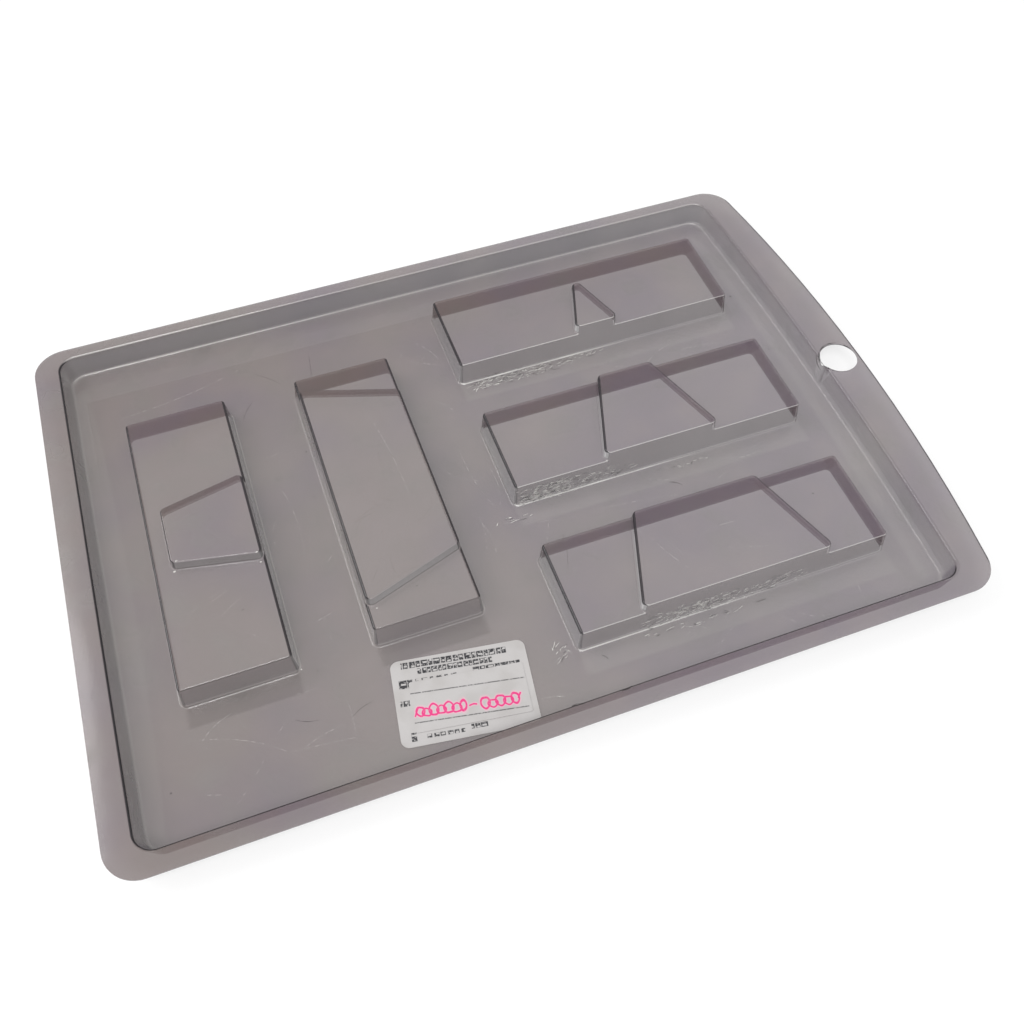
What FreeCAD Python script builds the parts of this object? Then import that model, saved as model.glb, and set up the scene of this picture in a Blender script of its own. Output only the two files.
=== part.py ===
import FreeCAD, Part
import math
import os
import re
import Sketcher

# Chocolate bar mould: one thermoformed clear sheet with five bar cavities, lying upside down,
# so that the cavities stand up from the tray floor, and two paper stickers on that floor.
# Millimetres. +Z is up, X runs along the long side, the underside of the tray floor is at z = 0.

# Driving sizes: name, value, what it is. Angles are in degrees. Gaps are measured on the tray floor,
# between the feet of the walls, and together with the bars they give the sheet its length and width.
SIZES = [
    ("sheet_gauge", 0.5, "thickness of the formed sheet"),
    ("form_depth", 4.0, "how far the two forms reach below the tray floor"),
    ("form_margin", 1.0, "how far the lower form reaches past the upper one"),
    ("sheet_corner", 9.0, "radius of the trimmed outer corners"),
    ("bow_radius", 535.0, "radius of the bowed right edge"),
    ("flange_left", 7.3, "flange width at the left"),
    ("flange_near", 5.9, "flange width at the near side"),
    ("flange_far", 3.8, "flange width at the far side"),
    ("flange_right", 11.9, "flange width at the crown of the right edge"),
    ("rim_bow_radius", 1230.0, "radius of the right rim"),
    ("rim_corner", 5.0, "corner radius of the tray"),
    ("tray_depth", 7.55, "drop from the flange to the tray floor"),
    ("tray_draft", 9.0, "lean of the tray walls"),
    ("rim_fold", 0.8, "radius of the fold between flange and tray wall"),
    ("floor_fold", 0.9, "radius of the fold between tray wall and floor"),
    ("bar_length", 90.0, "length of a bar at its main face"),
    ("bar_width", 29.0, "width of a bar at its main face"),
    ("bar_height", 7.8, "rise of a bar's main face above the floor"),
    ("bar_draft", 6.3, "lean of the bar and panel walls"),
    ("bar_corner", 1.0, "radius of a bar's upright corners"),
    ("bar_foot", 0.7, "radius of the fold round a bar's foot"),
    ("left_gap", 13.74, "floor between the left wall and the first upright bar"),
    ("upright_gap", 19.68, "floor between the two upright bars"),
    ("cross_gap", 18.88, "floor between the upright bars and the cross bars"),
    ("right_gap", 12.94, "floor between the cross bars and the crown of the right wall"),
    ("near_gap", 15.29, "floor between the near wall and the near cross bar"),
    ("bar_gap", 18.28, "floor between one cross bar and the next"),
    ("far_gap", 13.39, "floor between the far cross bar and the far wall"),
    ("upright_shift", 0.8, "how far the upright bars stand farther back than the middle cross bar"),
    ("panel_height", 3.15, "rise of a raised panel above a bar's main face"),
    ("panel_corner", 1.9, "radius of a raised panel's upright corners"),
    ("panel_edge", 0.5, "radius along the panel and bar edges"),
    ("panel_angle", 18.5, "angle of the panels' slanted sides"),
    ("near_panel_half", 28.5, "half width of the near cross bar's panel at its near side"),
    ("middle_panel_half", 18.4, "half width of the middle cross bar's panel at its near side"),
    ("far_panel_half", 7.7, "half width of the far cross bar's triangle at its near side"),
    ("second_panel_half", 38.7, "half length of the second upright bar's panel at its left side"),
    ("first_panel_half", 9.4, "half length of the first upright bar's panel at its left side"),
    ("first_panel_angle", 11.6, "angle of the first upright bar's panel"),
    ("first_panel_inset", 4.8, "distance from that panel's left side to the bar's left side"),
    ("hang_hole_radius", 5.7, "radius of the hanging hole"),
    ("hang_hole_edge", 0.7, "sheet left between the hanging hole and the right edge"),
    ("hang_hole_middle", 0.3, "Y of the hanging hole"),
    ("label_length", 35.5, "length of the printed sticker"),
    ("label_width", 24.0, "width of the printed sticker"),
    ("label_corner", 2.2, "corner radius of the printed sticker"),
    ("label_turn", -8.4, "angle at which the stickers are stuck on"),
    ("label_gap", 0.1, "floor between the near wall and the sticker's nearest corner"),
    ("label_shift", 2.7, "how far the sticker lies right of the second upright bar's middle"),
    ("paper_gauge", 0.15, "thickness of a sticker"),
    ("overlay_length", 29.8, "length of the sticker laid over the printed one"),
    ("overlay_width", 14.0, "width of the sticker laid over the printed one"),
    ("overlay_corner", 0.6, "corner radius of the upper sticker"),
    ("overlay_shift_x", 1.25, "shift of the upper sticker along the printed one"),
    ("overlay_shift_y", -1.55, "shift of the upper sticker across the printed one"),
]

# Shapes that the places are worked out from. A foot is half a bar's width or length on the floor.
BAR_GROWTH = "bar_height * tan(bar_draft * 1deg)"
WALL_RUN = "tray_depth * tan(tray_draft * 1deg)"
ACROSS = "bar_width / 2"
ALONG = "bar_length / 2"
FOOT_ACROSS = f"({ACROSS} + {BAR_GROWTH})"
FOOT_ALONG = f"({ALONG} + {BAR_GROWTH})"
BARS_LONG = f"4 * {FOOT_ACROSS} + 2 * {FOOT_ALONG} + left_gap + upright_gap + cross_gap + right_gap"
BARS_WIDE = f"6 * {FOOT_ACROSS} + near_gap + 2 * bar_gap + far_gap"
SHEET_LENGTH = f"({BARS_LONG} + 2 * {WALL_RUN} + flange_left + flange_right)"
SHEET_WIDTH = f"({BARS_WIDE} + 2 * {WALL_RUN} + flange_near + flange_far)"

# The sheet's middle is at the origin. These are its edges, the rim and the feet of its walls.
LEFT, CROWN = f"(-{SHEET_LENGTH} / 2)", f"({SHEET_LENGTH} / 2)"
NEAR, FAR = f"(-{SHEET_WIDTH} / 2)", f"({SHEET_WIDTH} / 2)"
FLOOR_LEFT = f"({LEFT} + flange_left + {WALL_RUN})"
FLOOR_NEAR = f"({NEAR} + flange_near + {WALL_RUN})"
FIRST_X = f"({FLOOR_LEFT} + left_gap + {FOOT_ACROSS})"
SECOND_X = f"({FIRST_X} + upright_gap + 2 * {FOOT_ACROSS})"
CROSS_X = f"({SECOND_X} + {FOOT_ACROSS} + cross_gap + {FOOT_ALONG})"
NEAR_Y = f"({FLOOR_NEAR} + near_gap + {FOOT_ACROSS})"
MIDDLE_Y = f"({NEAR_Y} + bar_gap + 2 * {FOOT_ACROSS})"
FAR_Y = f"({MIDDLE_Y} + bar_gap + 2 * {FOOT_ACROSS})"
UPRIGHT_Y = f"({MIDDLE_Y} + upright_shift)"
TOLERANCE = 1e-3

# The five bars: name, middle, half size along X and Y, and the raised panel on each.
# A panel runs across its bar from a start line, narrowing at the given angle as it goes.
BARS = [
    {
        "name": "first_upright", "x": FIRST_X, "y": UPRIGHT_Y,
        "half_x": ACROSS, "half_y": ALONG, "runs_along": "x", "start": f"(first_panel_inset - {ACROSS})",
        "half": "first_panel_half", "angle": "-first_panel_angle", "pointed": False,
    },
    {
        "name": "second_upright", "x": SECOND_X, "y": UPRIGHT_Y,
        "half_x": ACROSS, "half_y": ALONG, "runs_along": "x", "start": f"(-{ACROSS})",
        "half": "second_panel_half", "angle": "panel_angle", "pointed": False,
    },
    {
        "name": "far_cross", "x": CROSS_X, "y": FAR_Y,
        "half_x": ALONG, "half_y": ACROSS, "runs_along": "y", "start": f"(-{ACROSS})",
        "half": "far_panel_half", "angle": "panel_angle", "pointed": True,
    },
    {
        "name": "middle_cross", "x": CROSS_X, "y": MIDDLE_Y,
        "half_x": ALONG, "half_y": ACROSS, "runs_along": "y", "start": f"(-{ACROSS})",
        "half": "middle_panel_half", "angle": "panel_angle", "pointed": False,
    },
    {
        "name": "near_cross", "x": CROSS_X, "y": NEAR_Y,
        "half_x": ALONG, "half_y": ACROSS, "runs_along": "y", "start": f"(-{ACROSS})",
        "half": "near_panel_half", "angle": "panel_angle", "pointed": False,
    },
]

doc = FreeCAD.newDocument("chocolate_mould")
sheet = doc.addObject("Spreadsheet::Sheet", "sizes")
for row, (name, amount, note) in enumerate(SIZES, start=1):
    sheet.set(f"A{row}", name)
    sheet.set(f"B{row}", str(amount))
    sheet.set(f"C{row}", note)
    sheet.setAlias(f"B{row}", name)
doc.recompute()
NAMES = re.compile(r"\b(" + "|".join(name for name, _, _ in SIZES) + r")\b")


def formula(text):
    """The same formula with each size read from the spreadsheet."""
    return NAMES.sub(r"sizes.\1", text)


def value(text):
    """The number that a formula of sizes gives now."""
    return float(sheet.evalExpression(formula(text)))


def start_body(label):
    body = doc.addObject("PartDesign::Body", label)
    body.Label = label
    return body


def level_sketch(body, name, level):
    """An empty sketch on the body's own XY plane, lifted to a level."""
    sketch = body.newObject("Sketcher::SketchObject", name)
    ground = next(item for item in body.Origin.OriginFeatures if item.Role == "XY_Plane")
    sketch.AttachmentSupport = (ground, [""])
    sketch.MapMode = "FlatFace"
    sketch.setExpression("AttachmentOffset.Base.z", formula(level))
    return sketch


def fix(sketch, name, kind, target, size):
    """Adds a named constraint whose size follows a formula."""
    index = sketch.addConstraint(Sketcher.Constraint(kind, *target, value(size)))
    sketch.renameConstraint(index, name)
    sketch.setExpression(f"Constraints.{name}", formula(size))


def polygon(body, name, level, corners, radius):
    """A closed outline with rounded corners; the sharp corners are formulas, listed anticlockwise."""
    sketch = level_sketch(body, name, level)
    points = [FreeCAD.Vector(value(x), value(y), 0) for x, y in corners]
    count, size = len(points), value(radius)
    arrive, leave, middles = [], [], []
    for index, point in enumerate(points):
        back = (points[index - 1] - point).normalize()
        ahead = (points[(index + 1) % count] - point).normalize()
        half_angle = back.getAngle(ahead) / 2
        cut = size / math.tan(half_angle)
        arrive.append(point + back * cut)
        leave.append(point + ahead * cut)
        middles.append(point + (back + ahead).normalize() * (size / math.sin(half_angle)))
    for index in range(count):
        sketch.addGeometry(Part.LineSegment(leave[index], arrive[(index + 1) % count]))
    for index in range(count):
        bend = (points[index] - middles[index]).normalize() * size
        sketch.addGeometry(Part.Arc(arrive[index], middles[index] + bend, leave[index]))
    for point in points:
        sketch.addGeometry(Part.Point(point), True)
    for index, (x, y) in enumerate(corners):
        arc, sharp, before = count + index, 2 * count + index, (index - 1) % count
        sketch.addConstraint(Sketcher.Constraint("Tangent", before, 2, arc, 1))
        sketch.addConstraint(Sketcher.Constraint("Tangent", arc, 2, index, 1))
        sketch.addConstraint(Sketcher.Constraint("PointOnObject", sharp, 1, before))
        sketch.addConstraint(Sketcher.Constraint("PointOnObject", sharp, 1, index))
        fix(sketch, f"radius{index}", "Radius", (arc,), radius)
        fix(sketch, f"x{index}", "DistanceX", (-1, 1, sharp, 1), x)
        fix(sketch, f"y{index}", "DistanceY", (-1, 1, sharp, 1), y)
    return sketch


def bowed_rectangle(body, name, level, left, near, crown, far, bow):
    """Three straight sides and a right side that bows out to its crown."""
    sketch = level_sketch(body, name, level)
    radius = value(bow)
    centre = FreeCAD.Vector(value(crown) - radius, (value(near) + value(far)) / 2, 0)
    reach = (value(far) - value(near)) / 2
    sweep = math.asin(reach / radius)
    right = centre.x + radius * math.cos(sweep)
    near_left = FreeCAD.Vector(value(left), value(near), 0)
    near_right = FreeCAD.Vector(right, value(near), 0)
    far_right = FreeCAD.Vector(right, value(far), 0)
    far_left = FreeCAD.Vector(value(left), value(far), 0)
    sketch.addGeometry(Part.LineSegment(near_left, near_right))
    circle = Part.Circle(centre, FreeCAD.Vector(0, 0, 1), radius)
    sketch.addGeometry(Part.ArcOfCircle(circle, -sweep, sweep))
    sketch.addGeometry(Part.LineSegment(far_right, far_left))
    sketch.addGeometry(Part.LineSegment(far_left, near_left))
    for side in range(4):
        sketch.addConstraint(Sketcher.Constraint("Coincident", side, 2, (side + 1) % 4, 1))
    for side, direction in ((0, "Horizontal"), (2, "Horizontal"), (3, "Vertical")):
        sketch.addConstraint(Sketcher.Constraint(direction, side))
    fix(sketch, "left", "DistanceX", (-1, 1, 0, 1), left)
    fix(sketch, "near", "DistanceY", (-1, 1, 0, 1), near)
    fix(sketch, "far", "DistanceY", (-1, 1, 2, 1), far)
    fix(sketch, "bow_x", "DistanceX", (-1, 1, 1, 3), f"{crown} - {bow}")
    fix(sketch, "bow_y", "DistanceY", (-1, 1, 1, 3), f"({near} + {far}) / 2")
    fix(sketch, "bow", "Radius", (1,), bow)
    return sketch


def extrude(body, kind, name, sketch, length, draft="0", downwards=False):
    """A pad or pocket of a sketch, with its walls leaning in by the draft."""
    feature = body.newObject(kind, name)
    feature.Profile = sketch
    feature.setExpression("Length", formula(length))
    feature.setExpression("TaperAngle", formula(f"-({draft})"))
    feature.Reversed = downwards
    doc.recompute()
    return feature


def pad(body, name, sketch, length, draft="0"):
    before = body.Shape.Volume if not body.Shape.isNull() else 0
    feature = extrude(body, "PartDesign::Pad", name, sketch, length, draft)
    assert feature.Shape.Volume > before, name
    return feature


def pocket(body, name, sketch, length, draft="0"):
    before = body.Shape.Volume
    feature = extrude(body, "PartDesign::Pocket", name, sketch, length, draft)
    assert feature.Shape.Volume < before, name
    return feature


def is_level(item, level):
    box = item.BoundBox
    return abs(box.ZMin - level) < TOLERANCE and abs(box.ZMax - level) < TOLERANCE


def climbs(edge, low, high):
    """True for an upright or leaning edge that runs from one level to another."""
    box = edge.BoundBox
    return abs(box.ZMin - low) < TOLERANCE and abs(box.ZMax - high) < TOLERANCE


def upper_face(body, level):
    """The largest flat face that looks up at a level."""
    faces = body.Tip.Shape.Faces
    found = [face for face in faces if is_level(face, level) and face.normalAt(0, 0).z > 0.5]
    return max(found, key=lambda face: face.Area)


def inner_edges(body, level):
    """Edges of the openings in that face."""
    face = upper_face(body, level)
    return [edge for wire in face.Wires if not wire.isSame(face.OuterWire) for edge in wire.Edges]


def among(edges):
    return lambda edge: any(edge.isSame(other) for other in edges)


def round_edges(body, name, wanted, radius):
    """Rounds every edge of the body that the test picks."""
    base = body.Tip
    picked = [f"Edge{number}" for number, edge in enumerate(base.Shape.Edges, start=1) if wanted(edge)]
    assert picked, name
    feature = body.newObject("PartDesign::Fillet", name)
    feature.Base = (base, picked)
    feature.setExpression("Radius", formula(radius))
    doc.recompute()
    return feature


def levels(skin):
    """Heights of the faces of a form that lies a skin's thickness under the sheet's upper side."""
    return {
        "base": "-form_depth",
        "floor": f"(sheet_gauge - {skin})",
        "flange": f"(sheet_gauge + tray_depth - {skin})",
        "bar": f"(sheet_gauge + bar_height - {skin})",
        "panel": f"(sheet_gauge + bar_height + panel_height - {skin})",
    }


def shrink(skin, draft):
    """How far a leaning wall's outline moves when the wall and its level both move by the skin."""
    return f"({skin} * (1 - sin({draft} * 1deg)) / cos({draft} * 1deg))"


def panel_corners(bar, inset):
    """Corners of a bar's raised panel, anticlockwise, moved in from its outline by the inset."""
    start, end = f"({bar['start']} + {inset})", f"({ACROSS} - {inset})"
    slope = f"tan({bar['angle']} * 1deg)"
    side = f"({bar['half']} - {inset} / cos({bar['angle']} * 1deg))"
    near = f"({side} - {slope} * {inset})"
    far = f"({side} - {slope} * ({end} - {bar['start']}))"
    if bar["pointed"]:
        lanes = [(start, f"-{near}"), (start, near), (f"({bar['start']} + {side} / {slope})", "0")]
    else:
        lanes = [(start, f"-{near}"), (start, near), (end, far), (end, f"-{far}")]
    if bar["runs_along"] == "y":
        return [(f"{bar['x']} + {reach}", f"{bar['y']} + {lane}") for lane, reach in lanes]
    return [(f"{bar['x']} + {lane}", f"{bar['y']} + {reach}") for lane, reach in reversed(lanes)]


def add_bar(body, bar, inset, floor):
    """A tapered block on the tray floor."""
    half_x = f"({bar['half_x']} + {BAR_GROWTH} - {inset})"
    half_y = f"({bar['half_y']} + {BAR_GROWTH} - {inset})"
    signs = [("-", "-"), ("+", "-"), ("+", "+"), ("-", "+")]
    corners = [(f"{bar['x']} {sx} {half_x}", f"{bar['y']} {sy} {half_y}") for sx, sy in signs]
    sketch = polygon(body, f"{body.Name}_{bar['name']}_foot", floor, corners,
                     f"bar_corner + {BAR_GROWTH} - {inset}")
    pad(body, f"{body.Name}_{bar['name']}_block", sketch, "bar_height", "bar_draft")


def add_panel(body, bar, inset, level):
    """The raised panel on a bar, flush with the bar's walls where it reaches them."""
    sketch = polygon(body, f"{body.Name}_{bar['name']}_panel_foot", level, panel_corners(bar, inset),
                     f"panel_corner - {inset}")
    pad(body, f"{body.Name}_{bar['name']}_panel", sketch, "panel_height", "bar_draft")


def build_form(name, skin, margin, folds):
    """A solid whose upper side is the sheet's upper side, lowered by the skin's thickness."""
    body = start_body(name)
    level = levels(skin)
    trim = bowed_rectangle(body, f"{name}_trim", f"{level['base']} - {margin}", f"{LEFT} - {margin}",
                           f"{NEAR} - {margin}", f"{CROWN} + {margin}", f"{FAR} + {margin}",
                           f"bow_radius + {margin}")
    pad(body, f"{name}_block", trim, f"{level['flange']} + form_depth + {margin}")
    base, flange = value(f"{level['base']} - {margin}"), value(level["flange"])
    round_edges(body, f"{name}_trimmed_corners", lambda edge: climbs(edge, base, flange),
                f"sheet_corner + {margin}")

    wall = shrink(skin, "tray_draft")
    rim = bowed_rectangle(body, f"{name}_rim", level["flange"], f"{LEFT} + flange_left - {wall}",
                          f"{NEAR} + flange_near - {wall}", f"{CROWN} - flange_right + {wall}",
                          f"{FAR} - flange_far + {wall}", f"rim_bow_radius + {wall}")
    pocket(body, f"{name}_tray", rim, "tray_depth", "tray_draft")
    floor = value(level["floor"])
    round_edges(body, f"{name}_tray_corners", lambda edge: climbs(edge, floor, flange),
                f"rim_corner + {wall}")

    inset = shrink(skin, "bar_draft")
    for bar in BARS:
        add_bar(body, bar, inset, level["floor"])
    for bar in BARS:
        add_panel(body, bar, inset, level["bar"])

    bar_top, panel_top = value(level["bar"]), value(level["panel"])
    round_edges(body, f"{name}_face_edges",
                lambda edge: is_level(edge, bar_top) or is_level(edge, panel_top), folds["face"])
    round_edges(body, f"{name}_bar_feet", among(inner_edges(body, floor)), folds["foot"])
    round_edges(body, f"{name}_floor_folds", among(upper_face(body, floor).OuterWire.Edges),
                folds["floor"])
    round_edges(body, f"{name}_rim_folds", among(inner_edges(body, flange)), folds["rim"])
    return body


def punch_hole(body):
    """The hanging hole, punched straight down beside the crown of the right edge."""
    sketch = level_sketch(body, "hang_hole_outline", levels("0")["panel"])
    x = f"{CROWN} - hang_hole_edge - hang_hole_radius"
    middle = FreeCAD.Vector(value(x), value("hang_hole_middle"), 0)
    sketch.addGeometry(Part.Circle(middle, FreeCAD.Vector(0, 0, 1), value("hang_hole_radius")))
    fix(sketch, "x", "DistanceX", (-1, 1, 0, 3), x)
    fix(sketch, "y", "DistanceY", (-1, 1, 0, 3), "hang_hole_middle")
    fix(sketch, "radius", "Radius", (0,), "hang_hole_radius")
    pocket(body, "hang_hole", sketch, f"{levels('0')['panel']} + form_depth + form_margin")


def build_sheet():
    """The formed sheet, which is what lies between an upper and a lower form."""
    upper = build_form("upper_form", "0", "0",
                       {"face": "panel_edge", "foot": "bar_foot", "floor": "floor_fold", "rim": "rim_fold"})
    punch_hole(upper)
    lower = build_form("lower_form", "sheet_gauge", "form_margin",
                       {"face": "panel_edge", "foot": "bar_foot + sheet_gauge",
                        "floor": "floor_fold + sheet_gauge", "rim": "rim_fold - sheet_gauge"})
    formed = doc.addObject("Part::Cut", "mould_sheet")
    formed.Label = "mould_sheet"
    formed.Base = upper
    formed.Tool = lower
    doc.recompute()
    return formed


def build_sticker(name, level, length, width, radius, shift_x, shift_y):
    """A paper sticker on the tray floor, stuck on at a slight angle."""
    body = start_body(name)
    turn_x, turn_y = "cos(label_turn * 1deg)", "sin(label_turn * 1deg)"
    reach = f"(label_length * abs({turn_y}) + label_width * {turn_x}) / 2"
    middle_x, middle_y = f"({SECOND_X} + label_shift)", f"({FLOOR_NEAR} + label_gap + {reach})"
    corners = []
    for sx, sy in (("-", "-"), ("", "-"), ("", ""), ("-", "")):
        along, across = f"({shift_x} + {sx}{length} / 2)", f"({shift_y} + {sy}{width} / 2)"
        corners.append((f"{middle_x} + {along} * {turn_x} - {across} * {turn_y}",
                        f"{middle_y} + {along} * {turn_y} + {across} * {turn_x}"))
    pad(body, f"{name}_paper", polygon(body, f"{name}_outline", level, corners, radius), "paper_gauge")
    return body


pieces = [
    build_sheet(),
    build_sticker("product_label", "sheet_gauge", "label_length", "label_width", "label_corner", "0", "0"),
    build_sticker("overlay_label", "sheet_gauge + paper_gauge", "overlay_length", "overlay_width",
                  "overlay_corner", "overlay_shift_x", "overlay_shift_y"),
]
doc.recompute()

for item in doc.Objects:
    assert not {"Invalid", "Error"} & set(item.State), item.Name
os.makedirs("parts", exist_ok=True)
for piece in pieces:
    assert not piece.Shape.isNull() and piece.Shape.isValid(), piece.Label
    assert len(piece.Shape.Solids) == 1, piece.Label
    print(piece.Label, piece.Shape.BoundBox, round(piece.Shape.Volume, 2), len(piece.Shape.Faces))
    piece.Shape.exportStep(f"parts/{piece.Label}.step")
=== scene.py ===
# Chocolate bar mould: a clear smoky sheet with five formed bars and two paper stickers
import math

import bmesh
import bpy
import numpy as np
from mathutils import Matrix, Vector


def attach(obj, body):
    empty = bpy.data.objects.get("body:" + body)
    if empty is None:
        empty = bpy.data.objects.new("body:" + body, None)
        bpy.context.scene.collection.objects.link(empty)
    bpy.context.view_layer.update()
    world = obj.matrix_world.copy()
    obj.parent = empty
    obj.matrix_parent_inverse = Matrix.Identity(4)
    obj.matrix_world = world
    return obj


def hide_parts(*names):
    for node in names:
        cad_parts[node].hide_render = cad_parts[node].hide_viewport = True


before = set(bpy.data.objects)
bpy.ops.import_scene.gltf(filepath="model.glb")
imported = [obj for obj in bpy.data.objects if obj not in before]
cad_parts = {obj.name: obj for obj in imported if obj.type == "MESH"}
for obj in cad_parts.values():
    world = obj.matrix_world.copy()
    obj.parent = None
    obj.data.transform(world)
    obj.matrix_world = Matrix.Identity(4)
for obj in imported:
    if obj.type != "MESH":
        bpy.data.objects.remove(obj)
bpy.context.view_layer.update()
print("frame loaded:", ", ".join(sorted(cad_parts)))


# Shader maths: a Wire is one socket, and an expression on Wires adds its Math nodes
class Wire:
    def __init__(self, bench, socket):
        self.bench, self.socket = bench, socket

    def maths(self, operation, *others):
        values = {0: self, **{number + 1: other for number, other in enumerate(others)}}
        return self.bench.node("ShaderNodeMath", {"operation": operation}, values)[0]

    def __add__(self, other):
        return self.maths("ADD", other)

    def __sub__(self, other):
        return self.maths("SUBTRACT", other)

    def __mul__(self, other):
        return self.maths("MULTIPLY", other)

    def __truediv__(self, other):
        return self.maths("DIVIDE", other)

    def __pow__(self, other):
        return self.maths("POWER", other)

    def __neg__(self):
        return self.maths("MULTIPLY", -1.0)

    def __abs__(self):
        return self.maths("ABSOLUTE")

    def __lt__(self, other):
        return self.maths("LESS_THAN", other)

    def __gt__(self, other):
        return self.maths("GREATER_THAN", other)

    def __rsub__(self, other):
        return self.bench.node("ShaderNodeMath", {"operation": "SUBTRACT"}, {0: other, 1: self})[0]

    def __rtruediv__(self, other):
        return self.bench.node("ShaderNodeMath", {"operation": "DIVIDE"}, {0: other, 1: self})[0]

    __radd__, __rmul__ = __add__, __mul__

    def least(self, other):
        return self.maths("MINIMUM", other)

    def most(self, other):
        return self.maths("MAXIMUM", other)

    # 0 at low and 1 at high with a soft start and end; low may be above high
    def rise(self, low, high):
        upward = low < high
        ends = (low, high) if upward else (high, low)
        out = self.bench.node("ShaderNodeMapRange", {"interpolation_type": "SMOOTHSTEP"},
                              {"Value": self, "From Min": ends[0], "From Max": ends[1]})[0]
        return out if upward else 1 - out

    # 1 between low and high, fading over soft at both ends
    def between(self, low, high, soft):
        return self.rise(low - soft, low) * self.rise(high + soft, high)


# One material's node tree; node() takes a type, its settings, then its inputs, and gives its outputs
class Bench:
    def __init__(self, name):
        self.material = bpy.data.materials.new(name)
        self.material.use_nodes = True
        self.tree = self.material.node_tree
        self.tree.nodes.clear()
        self.column = 0

    def node(self, kind, settings=None, inputs=None):
        made = self.tree.nodes.new(kind)
        made.location = (180 * (self.column % 24), -220 * (self.column // 24))
        self.column += 1
        for name, value in (settings or {}).items():
            setattr(made, name, value)
        for name, value in (inputs or {}).items():
            if isinstance(value, Wire):
                self.tree.links.new(value.socket, made.inputs[name])
            else:
                made.inputs[name].default_value = value
        return [Wire(self, socket) for socket in made.outputs if socket.enabled]

    # places on the piece in millimetres, moved and turned about Z where a pattern needs it
    def places(self, middle=(0, 0, 0), turn=0.0):
        spots = self.node("ShaderNodeTexCoord")[3]
        return self.node("ShaderNodeMapping", {"vector_type": "TEXTURE"},
                         {"Vector": spots, "Location": [value / 1000 for value in middle],
                          "Rotation": (0, 0, math.radians(turn)), "Scale": (0.001, 0.001, 0.001)})[0]

    def parts(self, vector):
        return self.node("ShaderNodeSeparateXYZ", {}, {0: vector})

    def noise(self, places, size, detail=2.0, roughness=0.5):
        return self.node("ShaderNodeTexNoise", {"noise_dimensions": "3D"},
                         {"Vector": places, "Scale": 1 / size, "Detail": detail, "Roughness": roughness})[0]

    def blend(self, share, first, second):
        made = self.tree.nodes.new("ShaderNodeMix")
        made.data_type, made.clamp_factor = "RGBA", True
        for slot, value in ((0, share), (6, first), (7, second)):
            if isinstance(value, Wire):
                self.tree.links.new(value.socket, made.inputs[slot])
            elif slot == 0:
                made.inputs[slot].default_value = value
            else:
                made.inputs[slot].default_value = (*value, 1.0)
        return Wire(self, made.outputs[2])

    def bump(self, height, distance, strength=1.0):
        return self.node("ShaderNodeBump", {}, {"Height": height, "Distance": distance, "Strength": strength})[0]

    # the material's one shader: constants on its own sockets, wires where something varies
    def finish(self, **values):
        inputs = {name.replace("_", " "): value for name, value in values.items()}
        shader = self.node("ShaderNodeBsdfPrincipled", {}, inputs)[0]
        self.node("ShaderNodeOutputMaterial", {}, {"Surface": shader})
        return self.material


# The clear sheet. Places are millimetres on the piece, Z up from the table
sheetLook = {
    "warm": (0.150, 0.113, 0.106),      # what the plastic itself sends back
    "violet": (0.130, 0.095, 0.120),
    "greenish": (0.130, 0.118, 0.104),
    "pinkish": (0.162, 0.112, 0.112),
    "awayWallShade": (0.098, 0.070, 0.104),  # walls that are seen from behind: painted shade, a darker violet
    "nearWallLight": (0.360, 0.262, 0.245),  # walls that face the camera: painted light, a paler warm tone
    "dark": (0.008, 0.006, 0.009),      # folds that turn away from the light
    "pale": (0.80, 0.79, 0.76),         # folds that catch it
    "footLight": (0.42, 0.41, 0.37),     # painted light at the feet of walls and in the strips beside them
    # painted shade in the strips in front of the near feet of the upright bars
    "stripShade": (0.055, 0.045, 0.040),
    # painted shade on the near walls of the panels on the upright bars
    "panelNearShade": (0.075, 0.058, 0.056),
    # the trimmed edge: its plain tint, and a dark one painted as shade
    "cut": {"light": (0.120, 0.100, 0.112), "dark": (0.012, 0.009, 0.013)},
    "faceShare": 0.47,                  # how much one face of the sheet holds back
    "slantShare": 0.5,                  # how much more it holds back when seen at a slant
    "roughness": 0.14,
    "ior": 1.57,
    # heights from the first to the second of which something begins
    "heights": {
        "plate": (1.3, 0.9), "foot": (2.2, 1.6), "flange": (7.0, 7.6), "barTop": (7.35, 7.60),
        "panelFoot": (8.32, 8.40), "panelSide": (8.4, 8.7), "panelTop": (9.4, 10.2), "panelFace": (10.6, 10.9),
    },
    "floor": {"middleX": -6.0, "halfX": 102.0, "halfY": 68.0},
    "betweenBars": -3.0,                # x that parts the upright bars from the cross bars
    "hole": {"x": 113.6, "squares": (60.0, 50.0)},      # squares of the radii between which its wall begins
    "bow": 2460.0,                      # twice the radius of the right rim
    "edgeBow": 1070.0,                  # twice the radius of the right trimmed edge
    "crossBars": {"middle": 48.1, "half": 45.0, "nearFeet": (-62.4, -13.4, 35.6)},
    "edgeHalf": {"short": 14.5, "long": 45.0},
    "lean": 0.35,                       # how far a panel's top edge stands in from its foot
    "panels": {"reach": (7.92, 6.30, 5.69), "from": (-25.0, 26.0), "slope": 0.3346},
    "uprightBars": {"middles": (-82.4, -32.0), "middleY": 2.8, "half": 14.6, "nearFoot": -43.1},
}


# how much one face holds back: more at a slant, where light takes a longer way and is mirrored
def heldBack(b, share, look):
    slant = b.node("ShaderNodeLayerWeight", {}, {"Blend": 0.5})[1]
    mirror = 0.05 + 0.80 * slant ** 5.0
    inside = (1 - (1 - (1 - slant) ** 2.0) / look["ior"] ** 2) ** 0.5
    longer = 1 + look["slantShare"] * (1 / inside - 1)
    return (1 - (1 - share) ** longer * (1 - mirror)).least(1.0).most(0.0)


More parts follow.
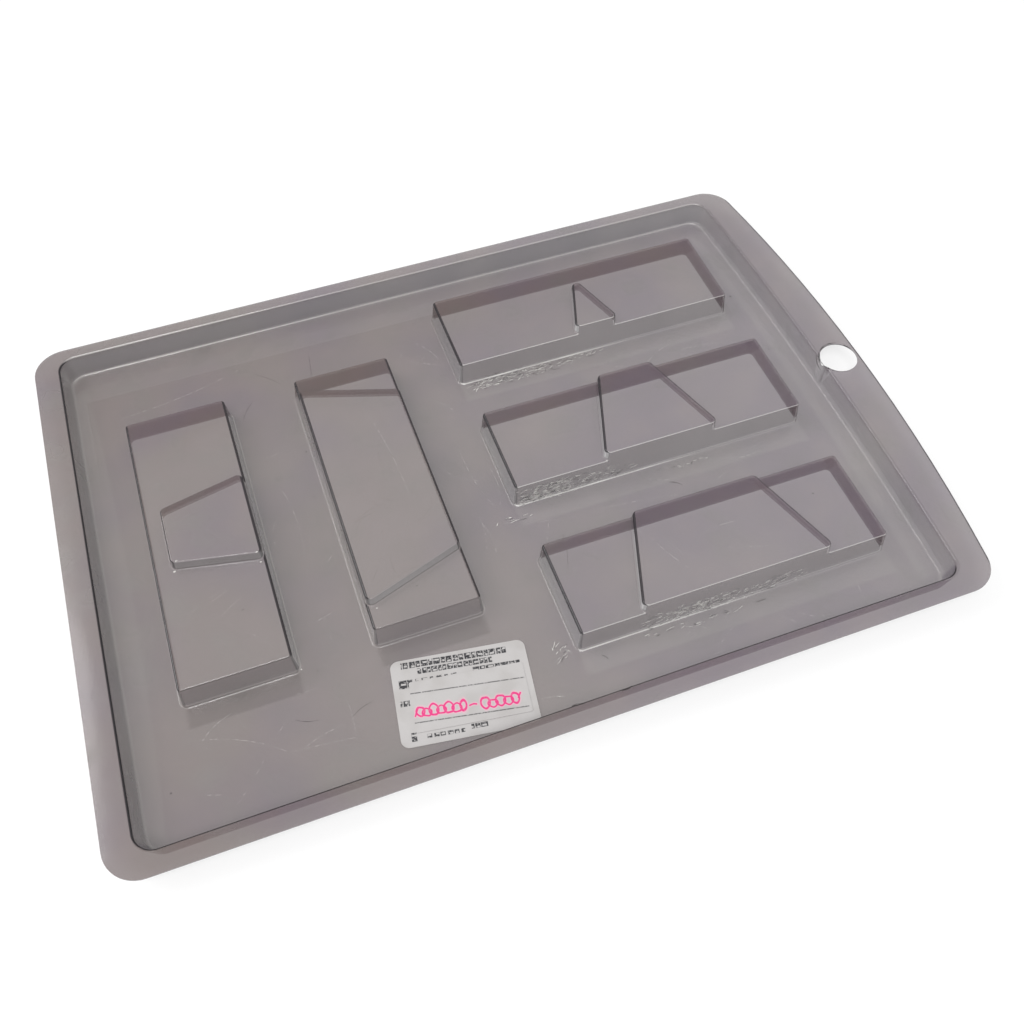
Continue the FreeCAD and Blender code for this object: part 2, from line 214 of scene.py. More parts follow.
# What flat and bent parts of the upper face share: clouds in the tint, pinkish and greenish, and a share that
# falls to the right and rises to the far side. within is 1 on the tray floor and its bars, 0 on the walls and flange.
def cloudedSheet(b, look):
    places = b.places()
    x, y, z = b.parts(places)
    clouds, patches = b.noise(places, 30.0, 1.0), b.noise(places, 11.0, 1.5)
    floor = look["floor"]
    within = (abs(y) < floor["halfY"]) * (abs(x - floor["middleX"]) < floor["halfX"])
    colour = b.blend((clouds - 0.5) * 3.0 + 0.15 + x.rise(-90.0, 120.0) * 0.7, look["warm"], look["violet"])
    colour = b.blend((patches - 0.5) * 1.6, colour, look["greenish"])
    colour = b.blend((0.5 - patches) * 1.6, colour, look["pinkish"])
    share = look["faceShare"] + 0.14 * (clouds - 0.5) + 0.07 * (patches - 0.5) - 0.0005 * x
    share = share + 0.09 * y.rise(15.0, 80.0) * within + 0.03 * x.rise(-50.0, -90.0) * y.rise(-30.0, -60.0)
    share = share + (1 - within) * 0.085 * z.rise(6.0, 7.6)
    return x, y, z, within, patches, colour, share


# Painted shade: dark lines along the left and right edges of bars and panels, the panels' slanted edges and the
# trimmed edge
def edgeLines(x, y, z, within, look):
    bars, uprights, panels, half = look["crossBars"], look["uprightBars"], look["panels"], look["edgeHalf"]
    heights = look["heights"]
    cross, panelTop = x > look["betweenBars"], z.rise(*heights["panelTop"])
    middle = sum(uprights["middles"]) / 2
    fromUpright = abs(abs(x - middle) - (uprights["middles"][1] - middle))
    fromCross = bars["middle"] - x
    raised = panelTop * look["lean"]
    inUprights = abs(y - uprights["middleY"]).rise(half["long"] + 0.2, half["long"] - 0.6) * (1 - cross)
    onUprights = (fromUpright + raised).between(half["short"] - 0.52, half["short"] + 0.15, 0.12) * inUprights
    onCross = (fromCross + raised).between(half["long"] - 0.52, half["long"] + 0.15, 0.12) * cross
    first, second, third = panels["reach"]
    reach = first + (y > panels["from"][0]) * second + (y > panels["from"][1]) * third - y * panels["slope"]
    slanted = (abs(fromCross) - reach).between(-0.95, -0.28, 0.12) * z.rise(*heights["panelFace"]) * cross
    slanted = slanted * fromCross.rise(-1.0, 1.0).most(0.6)
    dark = (onUprights.most(onCross) * z.rise(*heights["barTop"])).most(slanted)
    dark = dark * within * (1 - z.rise(*heights["panelFoot"]) * (1 - panelTop)) * 0.9
    return dark.most(z.rise(*heights["flange"]) * (x + y * y / look["edgeBow"]).rise(119.45, 119.75) * 0.75)


# Level parts: the plate, the flange and the tops of bars and panels
def makeFlatLook(look):
    b = Bench("clearFlat")
    x, y, z, within, patches, colour, share = cloudedSheet(b, look)
    bars, uprights = look["crossBars"], look["uprightBars"]
    middle = sum(uprights["middles"]) / 2
    fromUpright = abs(abs(x - middle) - (uprights["middles"][1] - middle))
    dark = edgeLines(x, y, z, within, look)

    # strips beside the feet of the walls, where the sheet mirrors them, painted into the colour: pale ones as painted
    # light, and dark ones as painted shade
    plate = z.rise(*look["heights"]["plate"])
    onCross = x.between(bars["middle"] - bars["half"], bars["middle"] + bars["half"], 1.5)
    steps = sum(y.between(foot - 6.6, foot + 0.4, 0.9) for foot in bars["nearFeet"])
    onUpright = fromUpright.rise(uprights["half"] + 1.0, uprights["half"] - 1.0)
    shadeStrip = plate * onUpright * y.between(uprights["nearFoot"] - 5.6, uprights["nearFoot"] + 0.4, 0.9)
    bowed = x + y * y / look["bow"]
    besideWalls = bowed.between(101.5, 105.6, 1.4) + 0.6 * bowed.between(-109.6, -105.5, 1.4)
    lightStrip = plate * (0.60 * onCross * steps + 0.55 * besideWalls * y.between(-72.0, 72.0, 3.0))

    colour = b.blend(0.30 * lightStrip, colour, look["footLight"])
    colour = b.blend(0.30 * shadeStrip, colour, look["stripShade"])
    colour = b.blend(dark, colour, look["dark"])
    solid = heldBack(b, (share + 0.52 * dark + 0.10 * shadeStrip + 0.03 * lightStrip).least(0.97), look)
    rough = look["roughness"] + 0.20 * patches.rise(0.45, 0.75)
    return b.finish(Base_Color=colour, Roughness=rough, IOR=look["ior"], Alpha=solid)


# Bent parts: the walls, and the folds between level sheet and walls
def makeBentLook(look):
    b = Bench("clearBent")
    x, y, z, within, patches, colour, share = cloudedSheet(b, look)
    nx, ny, level = b.parts(b.node("ShaderNodeNewGeometry")[1])
    fold = level.rise(0.18, 0.36) * level.rise(0.994, 0.955)
    thin = level.rise(0.36, 0.56) * level.rise(0.94, 0.84)      # the middle of a fold
    wall = level.rise(0.36, 0.22)
    heights = look["heights"]
    low = z.rise(*heights["foot"])
    panelTop = z.rise(*heights["panelTop"])
    high = (1 - low) * (1 - z.rise(*heights["panelFoot"]) * (1 - panelTop))     # not the feet of walls or of panels
    left, right, near, far = (way.rise(0.25, 0.6) for way in (-nx, nx, -ny, ny))
    cross = x > look["betweenBars"]
    upright, outside = 1 - cross, 1 - within

    # dark lines: where an edge turns from the light, another share for each side of bars, panels and rim
    onBars = left.most(right * (1 - 0.70 * cross * (1 - panelTop))).most(far * (0.50 + 0.45 * panelTop * upright))
    onBars = onBars.most(near * upright * (1 - panelTop) * 0.40)
    onRim = right.most(far).most(left * 0.20)
    dark = fold * high * (onBars * within + onRim * outside)
    dark = dark.most(wall * within * (abs(nx) * (-ny)).rise(0.33, 0.45) * 0.75)
    dark = dark.most(thin * low * within * (near * upright * 0.35 + left * cross * 0.28))
    dark = dark.most(edgeLines(x, y, z, within, look))

    # pale lines, painted highlights: near edges and feet of the cross bars, bright at their left and fading to the
    # right
    fade = x.rise(66.0, 36.0) * (0.65 + 0.9 * (patches - 0.35))
    onEdges = high * (within * cross * 0.55 + outside * 0.35)
    onFeet = low * (within * cross * (0.16 + 0.84 * fade) + outside * 0.35)
    pale = thin * (near * onEdges.most(onFeet)).most(low * right * within * upright * 0.30)

    farWall = wall * far.most(right * cross * 0.5)
    nearWall = wall * near
    sideWall = wall * within * left.most(right * upright)
    panelSide = z.rise(*heights["panelSide"]) * level.rise(0.6, 0.4)
    panelSide = panelSide * (abs(nx) * cross + abs(ny) * upright).rise(0.4, 0.7)
    # Painted light and shade in the colour: a darker violet on walls that face away, a paler warm tone on walls that
    # face the camera, a darker tone on the near walls of the upright bars' panels, and pale folds at the feet of walls
    # that don't face the camera
    colour = b.blend(farWall * 0.9, colour, look["awayWallShade"])
    colour = b.blend(nearWall * within * (0.20 + 0.30 * cross), colour, look["nearWallLight"])
    colour = b.blend(panelSide * near * upright * 0.8, colour, look["panelNearShade"])
    colour = b.blend(0.20 * fold * low * (1 - near), colour, look["footLight"])
    colour = b.blend(pale, colour, look["pale"])
    colour = b.blend(dark, colour, look["dark"])

    share = share + 0.52 * dark + 0.32 * pale + 0.12 * farWall - 0.12 * nearWall * outside
    share = share - within * (nearWall * (0.05 + 0.17 * cross) + 0.22 * sideWall)
    share = share * (1 - panelSide * (1 - dark) * (0.66 - 0.16 * left * cross - 1.10 * near * upright))
    solid = heldBack(b, share.least(0.97).most(0.02), look)
    rough = look["roughness"] + 0.20 * patches.rise(0.45, 0.75)
    return b.finish(Base_Color=colour, Roughness=rough, IOR=look["ior"], Alpha=solid)


# The underside, seen through the sheet: walls that lean away from the camera get a darker violet, painted shade
def makeUnderLook(look):
    b = Bench("clearUnder")
    x, y, z = b.parts(b.places())
    nx, ny, level = b.parts(b.node("ShaderNodeNewGeometry")[1])
    steep = abs(level).rise(0.5, 0.3)
    cross = x.rise(-6.0, 0.0)
    away = steep * (-ny).rise(0.3, 0.7).most((-nx).rise(0.3, 0.7) * cross * 0.45)
    panelSide = z.rise(8.0, 8.4) * steep * (abs(nx) * cross + abs(ny) * (1 - cross)).rise(0.4, 0.7)
    tint = b.blend(x.rise(-90.0, 120.0), look["warm"], look["violet"])
    tint = b.blend(away, tint, look["awayWallShade"])
    share = look["faceShare"] + 0.15 * away - 0.20 * steep * (1 - away) * (abs(x) < 98.0)
    share = share - 0.0003 * x + 0.05 * y.rise(15.0, 80.0)
    share = share * (1 - panelSide * (0.66 - 0.96 * ny.rise(0.3, 0.7) * (1 - cross)))
    solid = heldBack(b, share.most(0.02), look)
    return b.finish(Base_Color=tint, Roughness=look["roughness"], IOR=look["ior"], Alpha=solid)


# The trimmed edge: painted shade, dark at the bowed right side and at the far and left parts of the hole
def makeCutLook(look):
    b = Bench("trimmedEdge")
    places = b.places()
    x, y, z = b.parts(places)
    nx, ny, level = b.parts(b.node("ShaderNodeNewGeometry")[1])
    nicks = b.noise(places, 1.4, 1.0)
    hole = ((x - look["hole"]["x"]) ** 2.0 + y * y).rise(*look["hole"]["squares"])
    dark = hole * nx.most(-ny).rise(0.1, 0.6) + (1 - hole) * nx.rise(0.3, 0.8) * (0.45 + 0.4 * nicks)
    tint = b.blend(dark, look["cut"]["light"], look["cut"]["dark"])
    return b.finish(Base_Color=tint, Roughness=0.35, IOR=look["ior"], Alpha=0.38 + 0.15 * nicks + 0.45 * dark)


# The sheet itself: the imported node's own form with its triangles joined, so that each face can have its finish.
# A face whose normal points straight up is flat, up is bent, down is under, and level is the cut of the trimming tool.
def makeFormedSheet(node):
    form = bmesh.new()
    form.from_mesh(node.data)
    bmesh.ops.remove_doubles(form, verts=form.verts, dist=1e-6)
    mesh = bpy.data.meshes.new("formedSheet")
    form.to_mesh(mesh)
    form.free()
    lifts = np.zeros(len(mesh.polygons) * 3)
    mesh.polygons.foreach_get("normal", lifts)
    lifts = lifts.reshape(-1, 3)[:, 2]
    kinds = np.select([lifts > 0.999, lifts > 0.03, lifts < -0.03], [0, 1, 2], 3)
    mesh.polygons.foreach_set("material_index", kinds.astype(np.int32))
    mesh.shade_smooth()
    mesh.set_sharp_from_angle(angle=math.radians(50))
    sheet = bpy.data.objects.new("formedSheet", mesh)
    bpy.context.scene.collection.objects.link(sheet)
    for material in (makeFlatLook(sheetLook), makeBentLook(sheetLook), makeUnderLook(sheetLook), makeCutLook(sheetLook)):
        mesh.materials.append(material)
    even = sheet.modifiers.new("evenNormals", "WEIGHTED_NORMAL")
    even.keep_sharp = True
    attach(sheet, "root")
    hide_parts(node.name)
    return sheet


formedSheet = makeFormedSheet(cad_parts["mould_sheet"])
print("sheet formed:", len(formedSheet.data.polygons), "triangles")


# Marks left by use and by forming, as thin low ridges on the sheet, with painted highlight dots and painted shade
# along the hole, in millimetres
marks = {
    # dark grains: place and radius
    "specks": [
        (-104.2, -63.9, 0.5, 0.26), (-49.0, 26.5, 0.5, 0.24), (-50.7, 9.7, 0.5, 0.22), (-36.3, -13.8, 8.3, 0.20),
        (-32.6, -35.2, 11.45, 0.20), (-76.9, -24.8, 8.3, 0.24), (-63.0, -44.4, 0.5, 0.22), (-89.8, -42.9, 0.5, 0.18),
        (99.0, 42.1, 0.5, 0.34), (92.3, -7.7, 8.3, 0.28), (107.1, -18.7, 0.5, 0.22), (34.5, -65.3, 0.5, 0.30),
        (80.6, -42.6, 8.3, 0.24), (94.9, 10.4, 8.3, 0.20),
    ],
    # dark scratches: start, end, height of the sheet there, half width, bend
    "darkScratches": [
        ((47.4, -20.4), (51.0, -22.9), 0.5, 0.15, 0.5), ((-39.2, 64.4), (-40.6, 54.6), 0.5, 0.08, 0.2),
        ((7.7, -65.3), (9.0, -67.0), 0.5, 0.13, 0.2), ((-71.7, -55.6), (-65.8, -57.7), 0.5, 0.09, -0.5),
        ((-58.0, -60.0), (-52.0, -57.5), 0.5, 0.07, 0.6), ((-64.0, 45.0), (-60.0, 51.0), 0.5, 0.08, 0.4),
        ((12.0, -26.0), (9.0, -38.0), 0.5, 0.07, 0.6), ((-50.0, 55.0), (-57.0, 62.0), 0.5, 0.06, -0.4),
        # the next three are no scratches: dark lines along the left and far edge of the hole, painted shade of its cut
        # edge
        ((107.6, 3.6), (105.6, -3.2), 8.06, 0.13, -0.5),
        ((115.9, 6.0), (109.1, 4.4), 8.07, 0.28, -0.95), ((109.2, 4.6), (107.7, -2.0), 8.07, 0.34, -0.95),
        ((-6.6, -78.9), (-3.4, -79.3), 8.04, 0.24, 0.2), ((6.6, -79.3), (9.6, -78.9), 8.04, 0.22, -0.2),
    ],
    "paleScratches": [
        ((-11.6, -71.4), (-4.9, -73.0), 0.5, 0.13, 0.2), ((-0.8, -60.6), (0.6, -62.2), 0.5, 0.20, 0.3),
        ((-60.0, 20.0), (-57.5, -6.0), 0.5, 0.05, 1.2), ((-6.0, 12.0), (-2.0, -14.0), 0.5, 0.05, -1.4),
        ((-98.0, -52.0), (-72.0, -66.0), 0.5, 0.05, 2.2), ((20.0, -22.0), (56.0, -27.0), 0.5, 0.05, 0.8),
        ((-100.0, 58.0), (-60.0, 66.0), 0.5, 0.05, -1.5), ((-30.0, 30.0), (-26.0, -8.0), 11.45, 0.05, 1.0),
        ((60.0, 0.0), (64.0, -8.0), 11.45, 0.05, 0.3),
        ((70.0, 26.0), (88.0, 24.0), 0.5, 0.05, 0.6),
    ],
    # painted highlights: bright dots at the corners of the raised panels: place and radius
    "glints": [
        (-90.1, -6.3, 11.5, 0.34), (-69.6, -10.7, 11.5, 0.26), (-91.6, -7.2, 8.35, 0.34), (-69.4, -12.0, 8.35, 0.28),
        (-44.9, -32.6, 8.35, 0.30), (-44.0, -36.2, 8.35, 0.26), (-66.9, -42.6, 0.6, 0.22),
    ],
    # crinkles, low ridges made in forming, three in four pale as a painted highlight: middle, half size, height of the
    # sheet or the foot of the wall that they climb, how many, slant in degrees
    "crinkles": [
        ((19.0, 34.2), (17.0, 2.6), 0.5, 230, 3), ((44.0, 34.2), (12.0, 1.4), 0.5, 40, 3),
        ((1.0, -17.5), (6.0, 1.6), 0.5, 14, 8), ((-1.8, -60.5), (2.6, 3.4), 0.5, 16, 30),
        ((38.0, -64.8), (20.0, 1.0), 0.5, 24, 4), ((56.0, -15.9), (16.0, 0.8), 0.5, 12, 3),
    ],
    # the same crinkles on the near walls of the cross bars, pale as a painted highlight
    "wallCrinkles": [
        ((14.0, 4.0), (11.0, 3.4), -14.27, 240, 4), ((31.0, 4.0), (9.0, 2.4), -14.27, 50, 4),
        ((36.0, 4.0), (17.0, 3.4), -63.27, 210, 4), ((60.0, 4.2), (12.0, 2.6), -63.27, 50, 4),
    ],
    # faint hairlines: box on the sheet and its height, how many
    "hairlines": [
        ((-65.0, -40.0), (-50.0, 50.0), 0.5, 8), ((-98.0, -72.0), (-54.0, -48.0), 0.5, 10),
        ((-14.0, -44.0), (0.0, 62.0), 0.5, 10),
        ((4.0, -30.0), (92.0, -17.0), 0.5, 9), ((4.0, 19.0), (92.0, 31.0), 0.5, 7), ((-6.0, -75.0), (96.0, -66.0), 0.5, 8),
        ((-44.0, -30.0), (-20.0, 30.0), 8.3, 12), ((-92.0, -38.0), (-72.0, -18.0), 8.3, 4),
        ((28.0, -56.0), (62.0, -38.0), 11.45, 6),
    ],
    "wallLean": 6.3,
    "finish": {"dark": (0.020, 0.016, 0.016), "pale": (0.78, 0.77, 0.73)},
}


# A ridge: its middle runs from start to end as a shallow arc, it tapers to both ends as a sine,
# and across it three points make a low crown whose sides dip into the sheet.
def ridges(starts, ends, heights, halves, bends, count=9):
    starts, ends = np.array(starts, float), np.array(ends, float)
    heights, halves, bends = (np.array(value, float)[:, None] for value in (heights, halves, bends))
    t = np.linspace(0, 1, count)[None, :]
    along = ends - starts
    length = np.hypot(along[:, 0], along[:, 1])[:, None]
    across = np.column_stack([-along[:, 1], along[:, 0]]) / length
    bow = bends * np.sin(np.pi * t)
    taper = halves * (0.12 + 0.88 * np.sin(np.pi * t) ** 0.6)
    points = np.empty((len(starts), count, 3, 3))
    for column, (side, lift) in enumerate(((-1, -0.01), (0, 0.03), (1, -0.01))):
        for axis in (0, 1):
            middle = starts[:, axis, None] + along[:, axis, None] * t
            points[:, :, column, axis] = middle + across[:, axis, None] * (bow + side * taper)
        points[:, :, column, 2] = heights + lift
    number = np.arange(points.shape[0] * count * 3).reshape(points.shape[:3])
    a, b, c, d = number[:, :-1, 1:], number[:, :-1, :-1], number[:, 1:, :-1], number[:, 1:, 1:]
    return points.reshape(-1, 3), np.stack([a, b, c, d], -1).reshape(-1, 4)


# A grain: rings of eight points round a low dome
def grains(specks):
    specks = np.array(specks, float)
    turns = np.arange(8) * np.pi / 4
    radii, lifts = np.array([1.0, 0.62, 0.02]), np.array([-0.01, 0.07, 0.10])
    points = np.empty((len(specks), 3, 8, 3))
    points[..., 0] = specks[:, 0, None, None] + specks[:, 3, None, None] * radii[:, None] * np.cos(turns) * 1.2
    points[..., 1] = specks[:, 1, None, None] + specks[:, 3, None, None] * radii[:, None] * np.sin(turns) * 0.85
    points[..., 2] = specks[:, 2, None, None] + lifts[:, None]
    number = np.arange(points.shape[0] * 24).reshape(points.shape[:3])
    a, b = number[:, :-1], number[:, 1:]
    return points.reshape(-1, 3), np.stack([a, np.roll(a, -1, 2), np.roll(b, -1, 2), b], -1).reshape(-1, 4)


# A ridge drawn flat stands up on a near wall: along stays along, its second place climbs the leaning wall
def climbed(points, foot, lean):
    lean = math.radians(lean)
    along, up, lift = points.T
    back = foot + up * math.sin(lean) - lift * math.cos(lean)
    return np.column_stack([along, back, 0.5 + up * math.cos(lean) + lift * math.sin(lean)])


def makePiece(name, shapes, material):
    points, faces, done = [], [], 0
    for shapePoints, shapeFaces in shapes:
        points.append(shapePoints)
        faces.append(shapeFaces + done)
        done += len(shapePoints)
    mesh = bpy.data.meshes.new(name)
    mesh.from_pydata((np.concatenate(points) / 1000).tolist(), [], np.concatenate(faces).tolist())
    mesh.shade_smooth()
    mesh.materials.append(material)
    piece = bpy.data.objects.new(name, mesh)
    bpy.context.scene.collection.objects.link(piece)
    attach(piece, "root")
    return piece


def makeMarkLook(name, colour, low, high):
    b = Bench(name)
    uneven = b.noise(b.places(), 1.1, 1.0)
    return b.finish(Base_Color=(*colour, 1.0), Roughness=0.45, Alpha=low + (high - low) * uneven.rise(0.3, 0.7))


def makeMarks(values):
    chance = np.random.default_rng(5)
    finish = values["finish"]
    sets = {name: list(zip(*values[name])) for name in ("darkScratches", "paleScratches")}
    pale, dark = [], []
    for name in ("crinkles", "wallCrinkles"):
        for (middleX, middleY), (halfX, halfY), foot, many, slant in values[name]:
            # closest in the middle of each patch, few at its ends
            spotsX = middleX + halfX * (chance.beta(2.2, 2.6, many) * 2 - 1)
            spots = np.column_stack([spotsX, middleY + halfY * (chance.beta(1.6, 1.6, many) * 2 - 1)])
            turns = np.radians(slant + chance.normal(0, 11, many) + 40 * (chance.random(many) < 0.10))
            ways = np.column_stack([np.cos(turns), np.sin(turns)]) * chance.uniform(0.4, 1.7, many)[:, None]
            halves, bends = chance.uniform(0.05, 0.13, many), chance.uniform(-0.13, 0.13, many)
            flat = np.full(many, foot if name == "crinkles" else 0.0)
            for shapes, picked in ((pale, np.arange(many) % 4 > 0), (dark, np.arange(many) % 4 == 0)):
                ends = (spots - ways)[picked], (spots + ways)[picked]
                points, faces = ridges(*ends, flat[picked], halves[picked], bends[picked])
                if name == "wallCrinkles":
                    points = climbed(points, foot, values["wallLean"])
                shapes.append((points, faces))
    hairs = []
    for low, high, height, many in values["hairlines"]:
        starts = chance.uniform(low, high, (many, 2))
        turns = chance.uniform(0, 2 * math.pi, many)
        ways = np.column_stack([np.cos(turns), np.sin(turns)]) * chance.uniform(3, 20, many)[:, None]
        ends = np.clip(starts + ways, low, high)
        lengths = np.hypot(*(ends - starts).T)
        kept = lengths > 1.5
        halves = chance.uniform(0.03, 0.055, kept.sum())
        bends = (lengths * chance.uniform(-0.12, 0.12, many))[kept]
        hairs.append(ridges(starts[kept], ends[kept], np.full(kept.sum(), height), halves, bends, 15))
    wornDark = makeMarkLook("wornDark", finish["dark"], 0.25, 0.80)
    wornPale = makeMarkLook("wornPale", finish["pale"], 0.06, 0.40)
    crinkleAndGlintHighlights = makeMarkLook("crinkleAndGlintHighlights", finish["pale"], 0.10, 0.74)
    makePiece("wearMarks", [grains(values["specks"]), ridges(*sets["darkScratches"]), *dark], wornDark)
    makePiece("scuffs", [ridges(*sets["paleScratches"]), *hairs], wornPale)
    # one piece for the pale crinkles and the glints: their pale colour is a painted highlight
    makePiece("crinkles", [grains(values["glints"]), *pale], crinkleAndGlintHighlights)


makeMarks(marks)
print("marks laid")


# The stickers: millimetres along and across the printed one, turned as it is stuck on
paperLook = {
    "middle": (-29.0, -62.4, 0.0),
    "turn": -9.6,
    "paper": (0.45, 0.435, 0.43),
    "soiled": (0.39, 0.372, 0.362),
    "ink": (0.020, 0.020, 0.024),
    "marker": (0.66, 0.030, 0.19),
    "halo": (0.86, 0.36, 0.50),
    # rows of short plain bars: from, to, middle, half height, pitch, how much of it is bare, start of the pattern
    "rows": [
        (-15.3, 12.2, 9.35, 0.86, 1.62, 0.24, 0.3),
        (-11.2, 8.2, 7.25, 0.78, 1.36, 0.24, 2.1),
        (-16.4, -12.9, 4.10, 1.15, 1.75, 0.18, 4.0),
        (-12.2, -1.0, 4.60, 0.55, 1.90, 0.50, 1.2),
        (3.0, 15.2, 4.90, 0.95, 1.95, 0.20, 3.3),
        (-16.6, -14.3, -1.20, 0.75, 1.20, 0.22, 5.2),
        (-14.9, -13.7, -10.45, 1.15, 4.00, 0.10, 0.2),
        (-11.0, -1.6, -10.75, 0.50, 1.75, 0.30, 0.9),
        (0.2, 4.3, -10.15, 0.62, 1.75, 0.20, 2.7),
    ],
    "written": (-4.45, -0.027),
    "strokes": [((0.6, 0.0), (2.3, 0.1)), ((-13.3, -0.9), (-12.4, 1.2)), ((13.1, 0.2), (13.8, 1.3))],
    "rings": [
        ((-11.9, 0.1), (1.05, 1.20)), ((-10.3, -0.3), (1.15, 1.00)), ((-8.5, 0.2), (1.20, 1.50)),
        ((-6.6, -0.1), (1.15, 1.05)),
        ((-4.7, 0.2), (1.25, 1.45)), ((-2.7, -0.2), (1.20, 1.15)), ((-1.0, 0.2), (0.80, 1.35)),
        ((4.6, 0.0), (1.15, 1.50)), ((6.5, -0.4), (1.20, 1.00)), ((8.5, 0.1), (1.25, 1.40)),
        ((10.5, -0.2), (1.20, 1.10)), ((12.3, 0.2), (1.00, 1.40)),
    ],
    # ruled lines: from, to, height at the start, height at the end
    "rules": [(-13.9, 15.4, 1.24, 0.62), (-14.1, 15.2, -6.85, -7.40)],
}


# how far a place is from a straight stroke, and from a ring
def fromStroke(u, v, first, last):
    (startU, startV), (endU, endV) = first, last
    alongU, alongV = endU - startU, endV - startV
    share = (((u - startU) * alongU + (v - startV) * alongV) / (alongU ** 2 + alongV ** 2)).most(0.0).least(1.0)
    return ((u - startU - share * alongU) ** 2.0 + (v - startV - share * alongV) ** 2.0) ** 0.5


def fromRing(u, v, middle, halves):
    return abs((((u - middle[0]) / halves[0]) ** 2.0 + ((v - middle[1]) / halves[1]) ** 2.0) ** 0.5 - 1) * min(halves)


def makePaperLook(look, name, upper):
    b = Bench(name)
    places = b.places(look["middle"], look["turn"])
    u, v, lift = b.parts(places)
    fibres = b.noise(places, 0.55, 3.0, 0.65)
    stains = b.noise(places, 7.0, 2.0)
    colour = b.blend(stains.rise(0.42, 0.70) * 0.6 + 0.25 * (fibres - 0.3), look["paper"], look["soiled"])
    worn = fibres.rise(0.30, 0.52)

    ink = u * 0.0
    if upper:
        for start, end, first, last in look["rules"]:
            middle = first + (u - start) * ((last - first) / (end - start))
            ink = ink.most(abs(v - middle).rise(0.22, 0.10) * u.between(start, end, 0.3) * 0.75)
        # marker: two scribbled runs of overlapping loops with a dash between them, not letters or figures
        shaky = v - look["written"][0] - u * look["written"][1] + 0.10 * (u * 3.1).maths("SINE")
        away = u * 0.0 + 9.0
        for first, last in look["strokes"]:
            away = away.least(fromStroke(u, shaky, first, last))
        for middle, halves in look["rings"]:
            away = away.least(fromRing(u, shaky, middle, halves))
        stroke = away.rise(0.30, 0.16)
        halo = away.rise(0.80, 0.20) * fibres.rise(0.2, 0.6)
    else:
        for start, end, middle, half, pitch, bare, first in look["rows"]:
            step = (u + first + 0.22 * (u * 1.7 + first).maths("SINE")) / pitch
            cell = step.maths("FLOOR")
            within = step - cell
            bars = within.between(bare * 0.5, 1 - bare * 0.5, 0.10)
            # a slit of chance height breaks each plain bar, so that a row has the tone of print
            toss = (cell * 7.31 + first).maths("SINE")
            slit = within.rise(0.28, 0.36) * within.rise(0.86, 0.78) * abs(v - middle - toss * half * 0.55).rise(0.30, 0.18)
            ink = ink.most(bars * (1 - slit) * abs(v - middle).rise(half + 0.12, half - 0.08) * u.between(start, end, 0.15))
    colour = b.blend(ink * worn, colour, look["ink"])
    if upper:
        colour = b.blend(halo * 0.45, colour, look["halo"])
        colour = b.blend(stroke * (0.75 + 0.25 * worn), colour, look["marker"])
    lay = b.bump(fibres + 0.8 * stains, 0.00006, 0.7)
    rough = 0.62 - 0.15 * ink + 0.1 * stains
    return b.finish(Base_Color=colour, Roughness=rough, Normal=lay)


materials = {
    "printed": makePaperLook(paperLook, "printedPaper", False),
    "ruled": makePaperLook(paperLook, "ruledPaper", True),
}
for name, material in (("product_label", "printed"), ("overlay_label", "ruled")):
    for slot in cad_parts[name].material_slots:
        slot.material = materials[material]
print("materials made:", len(materials))


# Studio: pale table, even pale surroundings and soft lamps
studio = {
    "table": (0.90, 0.90, 0.90),
    "tableDrop": 0.0002,
    "plainWhite": 0.6,      # share of the table that is plain white to the camera, the rest keeps shadows
    "world": 0.62,
    # name, place, aim, width, length, power
    "lamps": [
        ("nearSoft", (-0.25, -0.55, 1.1), (0, 0, 0), 0.5, 0.5, 9.0),
        ("leftSoft", (-0.9, 0.5, 0.9), (0, 0, 0), 0.8, 0.8, 8.0),
    ],
}


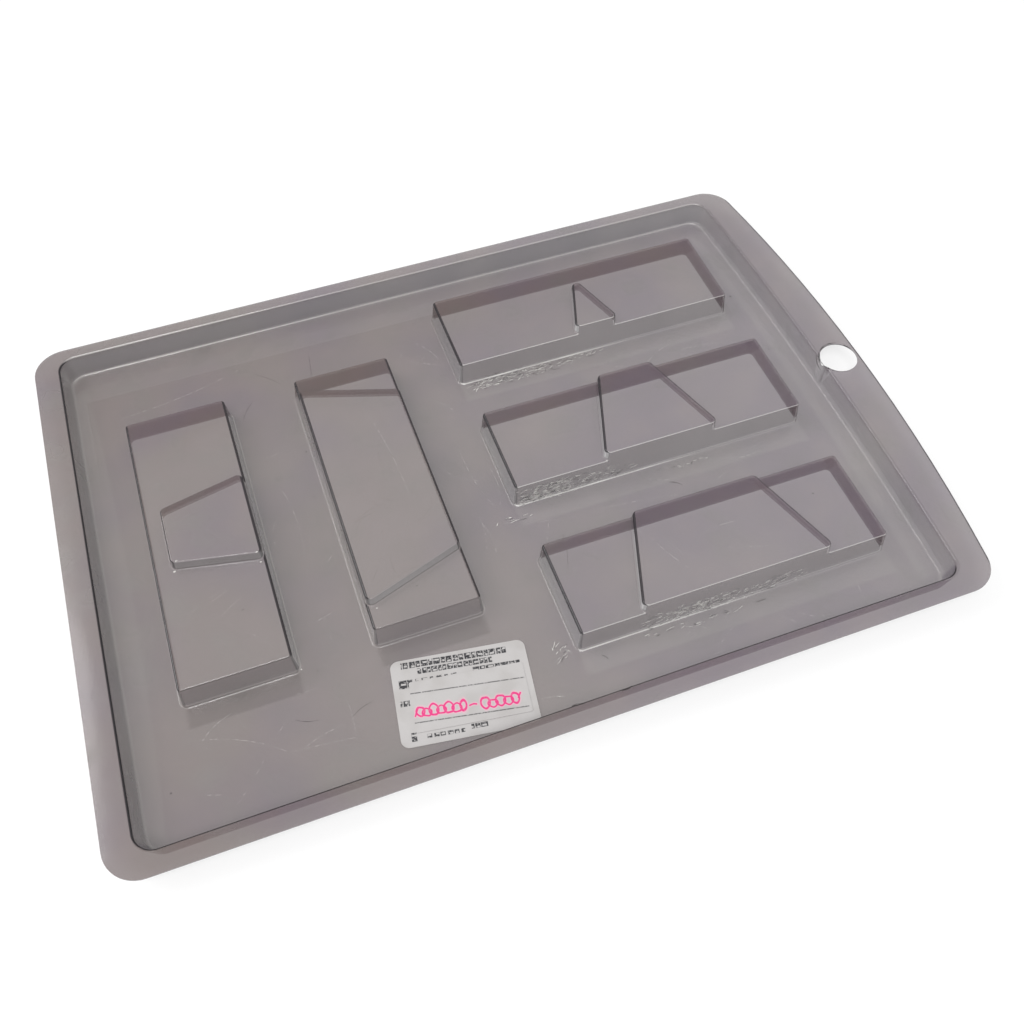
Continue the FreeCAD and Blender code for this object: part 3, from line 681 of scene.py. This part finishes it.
def makeStudio(values):
    side = 4.0
    corners = np.array([(-side, -side), (side, -side), (side, side), (-side, side)])
    places = np.column_stack([corners, np.full(4, -values["tableDrop"])])
    mesh = bpy.data.meshes.new("table")
    mesh.from_pydata(places.tolist(), [], [(0, 1, 2, 3)])
    table = bpy.data.objects.new("table", mesh)
    bpy.context.scene.collection.objects.link(table)
    b = Bench("tableTop")
    lit = b.node("ShaderNodeBsdfPrincipled", {},
                 {"Base Color": (*values["table"], 1.0), "Roughness": 0.7, "Specular IOR Level": 0.2})[0]
    white = b.node("ShaderNodeEmission", {}, {"Color": (1, 1, 1, 1), "Strength": 1.0})[0]
    path = b.node("ShaderNodeLightPath")
    seen = path[0].most(path[3]).most(path[6])      # camera, glossy and transmission rays
    shown = b.node("ShaderNodeMixShader", {}, {0: seen * values["plainWhite"], 1: lit, 2: white})[0]
    b.node("ShaderNodeOutputMaterial", {}, {"Surface": shown})
    mesh.materials.append(b.material)

    world = bpy.data.worlds.new("surroundings")
    world.use_nodes = True
    world.node_tree.nodes["Background"].inputs["Color"].default_value = (1, 1, 1, 1)
    world.node_tree.nodes["Background"].inputs["Strength"].default_value = values["world"]
    bpy.context.scene.world = world

    for name, place, aim, width, length, power in values["lamps"]:
        data = bpy.data.lights.new(name, "AREA")
        data.shape, data.size, data.size_y, data.energy = "RECTANGLE", width, length, power
        lamp = bpy.data.objects.new(name, data)
        away = (Vector(place) - Vector(aim)).normalized()
        lamp.matrix_world = Matrix.Translation(place) @ away.to_track_quat("Z", "Y").to_matrix().to_4x4()
        bpy.context.scene.collection.objects.link(lamp)


makeStudio(studio)
print("studio set")


# The camera stands where the photograph was taken from
view = {
    "place": (-0.055812, -0.172374, 0.245705),
    "azimuth": 19.859,      # degrees from +Y towards +X
    "drop": 55.650,         # degrees below level
    "roll": -0.090,
    "lens": 36.573,
}


def makeCamera(values):
    turn, drop = math.radians(values["azimuth"]), math.radians(values["drop"])
    ahead = Vector((math.sin(turn) * math.cos(drop), math.cos(turn) * math.cos(drop), -math.sin(drop)))
    data = bpy.data.cameras.new("photoCamera")
    data.lens, data.sensor_width, data.clip_start, data.clip_end = values["lens"], 36.0, 0.01, 20.0
    camera = bpy.data.objects.new("photoCamera", data)
    turned = (-ahead).to_track_quat("Z", "Y").to_matrix().to_4x4()
    rolled = Matrix.Rotation(math.radians(values["roll"]), 4, "Z")
    camera.matrix_world = Matrix.Translation(values["place"]) @ turned @ rolled
    bpy.context.scene.collection.objects.link(camera)
    bpy.context.scene.camera = camera
    return camera


makeCamera(view)
scene = bpy.context.scene
scene.view_settings.view_transform = "Standard"
scene.cycles.transparent_max_bounces = 32
scene.cycles.max_bounces, scene.cycles.diffuse_bounces, scene.cycles.glossy_bounces = 3, 2, 1
print("camera set")
